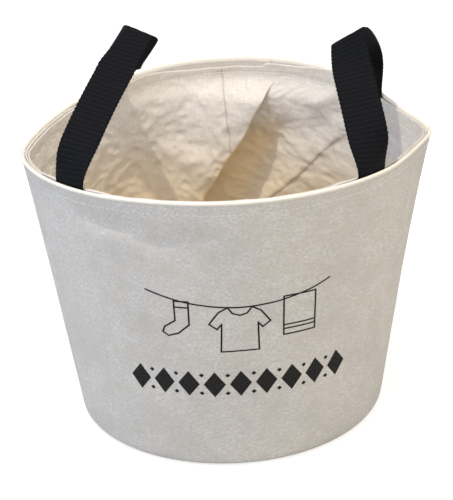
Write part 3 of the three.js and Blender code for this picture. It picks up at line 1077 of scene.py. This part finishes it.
def lining_wall(wall):
    """One wrap of calico, its top edge turned under and its slack lying in folds at the back."""
    lining = settings().lining
    canvas = settings().shape.canvas
    floor = canvas + 2 * LAYER_GAP + lining.calico
    middle = SEEN_FROM * wall.height
    hold = wall.stitch - EDGE_RUN
    fold = wall.edge_fold
    # A row is a height, the share from there up to the turned edge, and how far out and up from that
    rows = [(h, 0.0, 0.0, 0.0) for h in spread(floor, middle, LINING_ROWS_LOW)[:-1]]
    rows += [(h, 0.0, 0.0, 0.0) for h in spread(middle, hold, LINING_ROWS_SEEN)]
    rows += [(hold, share, 0.0, 0.0) for share in spread(0.0, 1.0, EDGE_ROWS)[1:]]
    rows += [(hold, 1.0, fold - out, up) for out, up in arc((0.0, 0.0), fold, 0, 2, FOLD_ROWS)[1:]]
    rows += [(hold, 1.0, 2 * fold, -down) for down in spread(0.0, lining.turn_under, TURN_ROWS)[1:]]
    angles = spread(FRONT, BACK - BACK_FLANK, LINING_COLUMNS_SIDE)[:-1]
    angles += spread(BACK - BACK_FLANK, BACK + BACK_FLANK, LINING_COLUMNS_BACK)[:-1]
    angles += spread(BACK + BACK_FLANK, FRONT + 2 * math.pi, LINING_COLUMNS_SIDE)
    slack_low = wall.stitch - lining.slack_start

    def height_of(angle, row):
        base, share, _, up = row
        return lerp(base, wall.lining_top(angle), share) + up if share else base

    def place(angle, row):
        height = height_of(angle, row)
        held = smoothstep(height, slack_low, wall.stitch)
        depth = lerp(lining.slack, wall.lining_depth + wall.room(angle), held)
        depth -= EDGE_DENT * hump(height - wall.stitch, EDGE_DENT_WIDE)
        spot = wall.point(angle, height, depth)
        hanging = smoothstep(wall.stitch - height, 0.0, HANG_RUN) * smoothstep(height, floor, HANG_LOW)
        at_back = smoothstep(math.sin(angle), *BACK_RUN)
        if at_back > 0 and hanging > 0:
            inwards, slide = lining_shape(spot.x, height)
            angle -= at_back * slide / (wall.half_width(height) * max(math.sin(angle), LEAST_TURN))
            depth += at_back * inwards * hanging
        depth += crumples(spot) * lerp(HELD_CRUMPLE, 1.0, hanging)
        if hanging > 0:
            depth = max(depth, canvas + LEAST_ROOM)
        return wall.point(angle, height, depth - row[2])

    around = run_length([wall.point(a, middle, lining.slack) for a in angles])

    def cut(angle, row):
        return (around * (angle - FRONT) / (2 * math.pi), height_of(angle, row) + row[2])

    def on_cut(height, seen):
        """The place on the cut of what is seen at a height and a place across the back."""
        across = seen
        for _ in range(SLIDE_TRIES):
            across = seen - lining_shape(across, height)[1]
        return cut(math.acos(across / (wall.half_width(height) - lining.slack)), (height, 0.0, 0.0, 0.0))

    # The seams, along which creases are painted dark as shade
    lines = [SEAM_LINE, *zip(SLANT_LINE, SLANT_LINE[1:])]
    creases = [(on_cut(*start), on_cut(*end)) for start, end in lines]
    mesh = bmesh.new()
    lay_sheet(mesh, angles, rows, place, cut, painted_shade_in)
    bmesh.ops.remove_doubles(mesh, verts=mesh.verts, dist=MERGE)
    piece = finish_piece("lining_cloth", mesh, calico_material(creases))
    thicken(piece, lining.calico, 1.0)
    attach(piece, "bag")
    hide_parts("lining_wall")
    wide = run_length([wall.point(a, wall.stitch, wall.lining_depth) for a in angles])


class PEGBAG_OT_lining(bpy.types.Operator):
    """Hang the calico lining and lay its oval floor"""

    bl_idname = "pegbag.lining"
    bl_label = "Lining"

    def execute(self, context):
        lining_wall(Wall())
        bottom = settings().shape.canvas + LAYER_GAP
        floor = oval_sheet("lining_floor", bottom, settings().lining.calico, calico_material())
        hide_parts("lining_base")
        return {"FINISHED"}


# Webbing: steps along and across it, where it turns to its fold, and the form of its ribs and edges
RIB_STEPS = 6
SECTION_STEPS = 28
TUCK_STEPS = 12
LEG_STEPS = 160
CREST_RUN = (0.001, 0.036)
RIB_ROUND = 0.6
CORD_RELIEF = 0.15
EDGE_SQUARE = 12
EDGE_NOTCH = 0.0005


def strap_line(wall, side):
    """The line of a handle's webbing from front to back, its top, its two ends and the run of its fold."""
    web = settings().webbing
    handle = handle_of(side)
    depth = wall.strap_depth + web.thickness / 2
    ends = []
    for face in (-1, 1):
        angle = strap_exit(side, face)
        width, speed = wall.run(angle)
        width = width * math.copysign(1.0, width.x)
        heights = spread(wall.height - web.tuck, wall.height, TUCK_STEPS)
        tuck = [wall.point(angle, h, depth) for h in heights]
        ends.append({"angle": angle, "speed": speed, "width": width, "tuck": tuck})
    front, back = ends
    top = front["tuck"][-1].lerp(back["tuck"][-1], 0.5)
    top.x -= side * handle.rise * math.sin(handle.lean)
    top.y += handle.fold_back
    top.z += handle.rise * math.cos(handle.lean)
    slope, turn = handle.fold_slope, handle.fold_turn
    fold = Vector((math.cos(turn), math.sin(turn), 0.0)) * math.cos(slope) + UP * (side * math.sin(slope))
    over = UP.cross(fold).normalized() * handle.fold_length
    over.x += side * handle.skew
    for end, aim in ((front, 0.0), (back, handle.back_aim)):
        up = UP.lerp((top - end["tuck"][-1]).normalized(), aim)
        up = (up - end["width"] * up.dot(end["width"])).normalized()
        end["lifted"] = end["tuck"][-1] + up * web.lift
    back["lifted"] -= back["width"] * (side * handle.back_bow)
    rising = interpolate_bezier(front["tuck"][-1], front["lifted"], top - over, top, LEG_STEPS)
    leaving = top + over * handle.back_ease
    falling = interpolate_bezier(top, leaving, back["lifted"], back["tuck"][-1], LEG_STEPS)
    points = front["tuck"][:-1] + rising + falling[1:] + back["tuck"][::-1][1:]
    return points, rising[-1], front, back, fold


def even_stations(points, step):
    """Places along a line, a step apart, as run, place and direction."""
    runs = runs_along(points)
    count = round(runs[-1] / step)
    places = [points[k].lerp(points[k + 1], share) for k, share in even_places(runs, count)]
    heads = [places[1] - places[0]]
    heads += [b - a for a, b in zip(places, places[2:])]
    heads += [places[-1] - places[-2]]
    steps = spread(0.0, runs[-1], count)
    return [(run, place, head.normalized()) for run, place, head in zip(steps, places, heads)]


def strap(wall, side):
    """One handle: a length of ribbed webbing, sewn in at both ends and folded over at the top."""
    web = settings().webbing
    points, top, front, back, fold = strap_line(wall, side)
    handle = handle_of(side)
    stations = even_stations(points, web.rib_pitch / RIB_STEPS)
    total = stations[-1][0]
    crest = run_length(points[:points.index(top) + 1])
    section = [(a, 1) for a in spread(-1.0, 1.0, SECTION_STEPS)]
    section += [(a, -1) for a in spread(1.0, -1.0, SECTION_STEPS)[1:]]

    def width_at(run):
        above_front, above_back = run - web.tuck, total - web.tuck - run
        end, above = (front, above_front) if above_front < above_back else (back, above_back)
        half_way = fold.lerp(Vector((1.0, 0.0, 0.0)), handle.facing if run < crest else 0.0)
        width = fold.lerp(half_way, smoothstep(abs(run - crest), *CREST_RUN))
        twist = handle.twist if run < crest else handle.back_twist
        return end["width"].lerp(width, smoothstep(above, 0.0, twist))

    def along_strap(station, across):
        """Run along the strap at a place across it, square to its edges."""
        run, _, head = station
        width = width_at(run)
        return run + across * web.width / 2 * width.dot(head) / head.cross(width).length

    def rim_bow(end, run_from_rim, across):
        """How the webbing bows across its width to follow the rim, easing off above it."""
        held = 1 - smoothstep(run_from_rim, 0.0, web.bend)
        if held <= 0:
            return Vector()
        direction = math.copysign(1.0, wall.run(end["angle"])[0].x)
        turn = direction * across * web.width / 2 / end["speed"]
        depth = wall.strap_depth + web.thickness / 2
        bowed = wall.point(end["angle"] + turn, wall.height, depth)
        flat = wall.point(end["angle"], wall.height, depth) + end["width"] * (across * web.width / 2)
        return (bowed - flat) * held

    def place(station, around):
        run, point, head = station
        across, face = around
        width = width_at(run)
        width /= head.cross(width).length
        normal = head.cross(width)
        along = along_strap(station, across)
        rib = abs(math.sin(math.pi * along / web.rib_pitch)) ** RIB_ROUND
        parity = math.floor(along / web.rib_pitch) % 2
        cord = math.cos(2 * math.pi * (across * web.width / 2 / web.cord_pitch + 0.5 * parity))
        edge = math.sqrt(max(1 - abs(across) ** EDGE_SQUARE, 0.0))
        raised = rib * (1 - CORD_RELIEF + CORD_RELIEF * cord)
        half = web.thickness / 2 - web.rib_height + web.rib_height * raised
        reach = web.width / 2 - EDGE_NOTCH * (1 - rib)
        bow = rim_bow(front, run - web.tuck, across) + rim_bow(back, total - web.tuck - run, across)
        return point + width * (across * reach) + normal * (face * half * edge) + bow

    def cut(station, around):
        across, _ = around
        return (along_strap(station, across), across * web.width / 2)

    mesh = bmesh.new()
    lay_sheet(mesh, stations, section, place, cut)
    bmesh.ops.remove_doubles(mesh, verts=mesh.verts, dist=MERGE)
    bmesh.ops.holes_fill(mesh, edges=[e for e in mesh.edges if e.is_boundary], sides=0)
    bmesh.ops.recalc_face_normals(mesh, faces=mesh.faces)
    name = "left" if side < 0 else "right"
    material = bpy.data.materials.get("black_webbing") or webbing_finish(
        settings().colours.webbing, web.rib_pitch, web.cord_pitch
    )
    piece = finish_piece(f"{name}_strap", mesh, material)
    rim = front["tuck"][-1].lerp(back["tuck"][-1], 0.5)
    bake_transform(piece)
    nodes = ("loop", "front_bend", "back_bend", "front_end", "back_end")
    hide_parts(*(f"{name}_handle_{node}" for node in nodes))


class PEGBAG_OT_handles(bpy.types.Operator):
    """Fold both webbing loops and tuck their ends into the rim"""

    bl_idname = "pegbag.handles"
    bl_label = "Handles"

    def execute(self, context):
        wall = Wall()
        for side in (-1, 1):
            strap(wall, side)
        return {"FINISHED"}


# Topstitching: from stitch to stitch, a stitch's length, its thread, and how far the inner row sinks in
STITCH_PITCH = 0.0034
STITCH_LONG = 0.0026
THREAD_RADIUS = 0.0003
INNER_SINK = 0.00008
RIM_STEPS = 720
THREAD_STEPS = 6
PROBE = 0.001


def stitch_row(wall, name, depth_at):
    """One row of topstitching round the rim, at a depth that its angle gives."""
    rim = [wall.point(a, wall.stitch, 0.0) for a in spread(0.0, 2 * math.pi, RIM_STEPS)]
    count = round(run_length(rim) / STITCH_PITCH)
    size = Matrix.Diagonal((STITCH_LONG / 2, THREAD_RADIUS, THREAD_RADIUS, 1.0))
    mesh = bmesh.new()
    for angle in wall.even_angles(0.0, 2 * math.pi, count)[:-1]:
        along, _ = wall.run(angle, wall.stitch)
        depth = depth_at(angle)
        centre = wall.point(angle, wall.stitch, depth)
        outward = (wall.point(angle, wall.stitch, depth - PROBE) - centre).normalized()
        turn = Matrix((along, outward.cross(along), outward)).transposed().to_4x4()
        matrix = Matrix.Translation(centre) @ turn @ size
        bmesh.ops.create_uvsphere(
            mesh, u_segments=THREAD_STEPS, v_segments=THREAD_STEPS, radius=1.0, matrix=matrix
        )
    material = bpy.data.materials.get("cotton_thread") or thread_finish(settings().colours.thread)
    piece = finish_piece(name, mesh, material)
    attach(piece, "bag")


class PEGBAG_OT_topstitching(bpy.types.Operator):
    """Sew the rows of topstitching outside and inside the rim"""

    bl_idname = "pegbag.topstitching"
    bl_label = "Topstitching"

    def execute(self, context):
        wall = Wall()
        inside = wall.lining_depth - EDGE_DENT + INNER_SINK
        stitch_row(wall, "outer_topstitching", lambda angle: 0.0)
        stitch_row(wall, "inner_topstitching", lambda angle: inside + wall.room(angle))
        return {"FINISHED"}


# Print, in metres across the front and up from its middle
INK_LIFT = 0.00009
STROKE = 0.0011
LEAST_MITRE = 0.5
PRINT_STEP = 0.0016
PRINT_MIDDLE = 0.108
LINE_SPAN = 0.118
LINE_SAG = 0.011
LINE_TOP = 0.036
LINE_STEPS = 40
SHIRT_SIDE = (
    (0.0075, 0.0), (0.0130, -0.0035), (0.0190, -0.0125), (0.0140, -0.0165), (0.0112, -0.0125),
    (0.0118, -0.0340),
)
SHIRT = (*((-x, y) for x, y in SHIRT_SIDE), *reversed(SHIRT_SIDE))
COLLAR = ((-0.0075, 0.0), (-0.0045, -0.0045), (0.0, -0.0060), (0.0045, -0.0045), (0.0075, 0.0))
SOCK = (
    (-0.0045, 0.0), (-0.0040, -0.0150), (-0.0110, -0.0205), (-0.0122, -0.0248), (-0.0085, -0.0272),
    (-0.0020, -0.0245), (0.0048, -0.0175), (0.0045, 0.0), (-0.0045, 0.0),
)
SOCK_CUFF = ((-0.0044, -0.0045), (0.0045, -0.0045))
TOWEL_HALF, TOWEL_LONG = 0.0105, 0.0300
TOWEL_BANDS = (-0.0225, -0.0255)
TOWEL = (
    (-TOWEL_HALF, 0.0), (-TOWEL_HALF, -TOWEL_LONG), (TOWEL_HALF, -TOWEL_LONG), (TOWEL_HALF, 0.0),
    (-TOWEL_HALF, 0.0),
)
HUNG = (
    (0.0, (SHIRT, COLLAR)),
    (-0.036, (SOCK, SOCK_CUFF)),
    (0.038, (TOWEL, *(((-TOWEL_HALF, band), (TOWEL_HALF, band)) for band in TOWEL_BANDS))),
)
LOZENGES = 9
LOZENGE_PITCH = 0.0165
LOZENGE_HALF = (0.0070, 0.0105)
LOZENGE_STEPS = 8
BAND_HEIGHT = -0.036
DOT_RADIUS = 0.0017
DOT_UP = 0.0075


class Print:
    """Ink laid on the front panel, in flat shapes that then follow the wall."""

    def __init__(self, wall):
        self.wall = wall
        self.mesh = bmesh.new()

    def place(self, across, up):
        height = PRINT_MIDDLE + up
        point = self.wall.point(FRONT + across / self.wall.half_width(height), height, -INK_LIFT)
        point.y -= LAYER_GAP / 2
        return point

    def stroke(self, corners, move=(0.0, 0.0)):
        """A line of even width through the corners, mitred where it turns."""
        spots = [Vector(c) + Vector(move) for c in corners]
        closed = (spots[0] - spots[-1]).length < MERGE
        line = []
        for a, b in zip(spots, spots[1:]):
            steps = max(round((b - a).length / PRINT_STEP), 1)
            line += [a.lerp(b, i / steps) for i in range(steps)]
        line.append(spots[-1])
        sides = []
        for i, spot in enumerate(line):
            before = line[i - 1] if i else (line[-2] if closed else None)
            after = line[i + 1] if i < len(line) - 1 else (line[1] if closed else None)
            into = (spot - before).normalized() if before else (after - spot).normalized()
            out = (after - spot).normalized() if after else into
            normal = Vector((-into.y - out.y, into.x + out.x)).normalized()
            sides.append(normal / max(normal.dot(Vector((-into.y, into.x))), LEAST_MITRE))

        def flat(i, side):
            return line[i] + sides[i] * (side * STROKE / 2)

        lay_sheet(self.mesh, range(len(line)), (-1, 1), lambda i, side: self.place(*flat(i, side)), flat)

    def lozenge(self, middle, half):
        """A filled lozenge with the given half sizes."""
        steps = spread(0.0, 1.0, LOZENGE_STEPS)

        def flat(a, b):
            return (middle[0] + half[0] * (a + b - 1), middle[1] + half[1] * (b - a))

        lay_sheet(self.mesh, steps, steps, lambda a, b: self.place(*flat(a, b)), flat)


def line_drop(across):
    """Height of the sagging line at a place across."""
    return LINE_TOP - LINE_SAG * (1 - (2 * across / LINE_SPAN) ** 2)


class PEGBAG_OT_print(bpy.types.Operator):
    """Print washing on a line and a band of lozenges on the front"""

    bl_idname = "pegbag.print"
    bl_label = "Print"

    def execute(self, context):
        ink = Print(Wall())
        ink.stroke([(x, line_drop(x)) for x in spread(-LINE_SPAN / 2, LINE_SPAN / 2, LINE_STEPS)])
        for across, outlines in HUNG:
            for outline in outlines:
                ink.stroke(outline, (across, line_drop(across)))
        for i in range(LOZENGES):
            across = (i - (LOZENGES - 1) / 2) * LOZENGE_PITCH
            ink.lozenge((across, BAND_HEIGHT), LOZENGE_HALF)
            if i < LOZENGES - 1:
                for up in (DOT_UP, -DOT_UP):
                    spot = (across + LOZENGE_PITCH / 2, BAND_HEIGHT + up)
                    ink.lozenge(spot, (DOT_RADIUS, DOT_RADIUS))
        colours = settings().colours
        piece = finish_piece("front_print", ink.mesh, ink_finish(colours.ink, colours.canvas, WARP, WEFT))
        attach(piece, "bag")
        return {"FINISHED"}


# Stage: the floor's half size and its glow to the camera, the tints of the light and the fills' shares
FLOOR_HALF = 6.0
FLOOR_GLOW = 0.69
WORLD_TINT = (0.98, 0.965, 0.95)
LAMP_TINT = (1.0, 0.93, 0.81)
COOL_TINT = (0.53, 0.70, 1.0)
WARM_TINT = (1.0, 0.86, 0.64)
COOL_SHARE, WARM_SHARE = 1.7, 1.35


def area_lamp(name, azimuth, elevation, distance, size, watts, tint):
    """A square lamp aimed at the bag, placed by degrees and metres."""
    data = bpy.data.lights.new(name, "AREA")
    data.size = size
    data.energy = watts
    data.color = tint
    lamp = bpy.data.objects.new(name, data)
    turn, rise = math.radians(azimuth), math.radians(elevation)
    towards = Vector((math.sin(turn), -math.cos(turn), 0.0)) * math.cos(rise) + UP * math.sin(rise)
    place = Matrix.Translation(UP * settings().stage.aim + towards * distance)
    lamp.matrix_world = place @ towards.to_track_quat("Z", "Y").to_matrix().to_4x4()
    bpy.context.scene.collection.objects.link(lamp)


def floor_finish(rgb):
    """Pale floor that reads as white to the camera and still takes the bag's shadow."""
    finish = Finish("pale_floor")
    path = finish.tree.nodes.new("ShaderNodeLightPath")
    seen = path.outputs["Is Camera Ray"]
    for ray in ("Is Glossy Ray", "Is Transmission Ray"):
        seen = finish.math("MAXIMUM", seen, path.outputs[ray])
    finish.set("Base Color", opaque(rgb))
    finish.set("Roughness", 0.9)
    finish.set("Emission Color", opaque((1.0, 1.0, 1.0)))
    finish.set("Emission Strength", finish.times(seen, FLOOR_GLOW))
    return finish.material


class PEGBAG_OT_stage(bpy.types.Operator):
    """Set the pale floor, the lamps and the camera"""

    bl_idname = "pegbag.stage"
    bl_label = "Stage"

    def execute(self, context):
        stage = settings().stage
        mesh = bmesh.new()
        bmesh.ops.create_grid(mesh, x_segments=1, y_segments=1, size=FLOOR_HALF)
        floor = finish_piece("floor", mesh, floor_finish(settings().colours.floor), smooth=False)
        area_lamp("key", -62, 76, 1.6, 0.025, stage.key, LAMP_TINT)
        area_lamp("front", -11, 55, 1.6, 0.7, stage.front, LAMP_TINT)
        area_lamp("cool_fill", -66, 34, 1.5, 1.0, COOL_SHARE * stage.fill, COOL_TINT)
        area_lamp("warm_fill", 60, 30, 1.5, 1.0, WARM_SHARE * stage.fill, WARM_TINT)
        world = bpy.data.worlds.new("studio")
        world.use_nodes = True
        background = world.node_tree.nodes["Background"]
        background.inputs["Color"].default_value = opaque(WORLD_TINT)
        background.inputs["Strength"].default_value = stage.world
        context.scene.world = world
        data = bpy.data.cameras.new("camera")
        data.lens = stage.lens
        data.shift_x = stage.shift_x
        data.shift_y = stage.shift_y
        camera = bpy.data.objects.new("camera", data)
        heading = Matrix.Rotation(-stage.heading, 4, "Z")
        tilt = Matrix.Rotation(math.pi / 2 - stage.elevation, 4, "X")
        aim = Matrix.Translation(UP * stage.aim)
        back = Matrix.Translation(UP * stage.distance)
        camera.matrix_world = aim @ heading @ tilt @ back @ Matrix.Rotation(stage.roll, 4, "Z")
        context.scene.collection.objects.link(camera)
        context.scene.camera = camera
        context.scene.view_settings.view_transform = "Standard"
        return {"FINISHED"}


OPERATORS = (
    PEGBAG_OT_stage,
    PEGBAG_OT_outer_panels,
    PEGBAG_OT_base,
    PEGBAG_OT_facing,
    PEGBAG_OT_lining,
    PEGBAG_OT_handles,
    PEGBAG_OT_topstitching,
    PEGBAG_OT_print,
)


class PEGBAG_PT_panel(bpy.types.Panel):
    """Peg bag's pieces and settings"""

    bl_idname = "PEGBAG_PT_panel"
    bl_label = "Peg Bag"
    bl_space_type = "VIEW_3D"
    bl_region_type = "UI"
    bl_category = "Peg Bag"

    def draw(self, context):
        for operator in OPERATORS:
            self.layout.operator(operator.bl_idname)
        for name in PegBagSettings.__annotations__:
            group = getattr(context.scene.peg_bag, name)
            box = self.layout.box()
            for prop in group.__annotations__:
                box.prop(group, prop)


CLASSES = (
    PegBagShape,
    PegBagLining,
    PegBagWebbing,
    PegBagLeftHandle,
    PegBagRightHandle,
    PegBagColours,
    PegBagStage,
    PegBagSettings,
    *OPERATORS,
    PEGBAG_PT_panel,
)


def register():
    for cls in CLASSES:
        bpy.utils.register_class(cls)
    bpy.types.Scene.peg_bag = PointerProperty(type=PegBagSettings)


def unregister():
    del bpy.types.Scene.peg_bag
    for cls in reversed(CLASSES):
        bpy.utils.unregister_class(cls)


def main():
    register()
    bpy.ops.pegbag.stage()
    bpy.ops.pegbag.outer_panels()
    bpy.ops.pegbag.base()
    bpy.ops.pegbag.facing()
    bpy.ops.pegbag.lining()
    bpy.ops.pegbag.handles()
    bpy.ops.pegbag.topstitching()
    bpy.ops.pegbag.print()


if __name__ == "__main__":
    main()
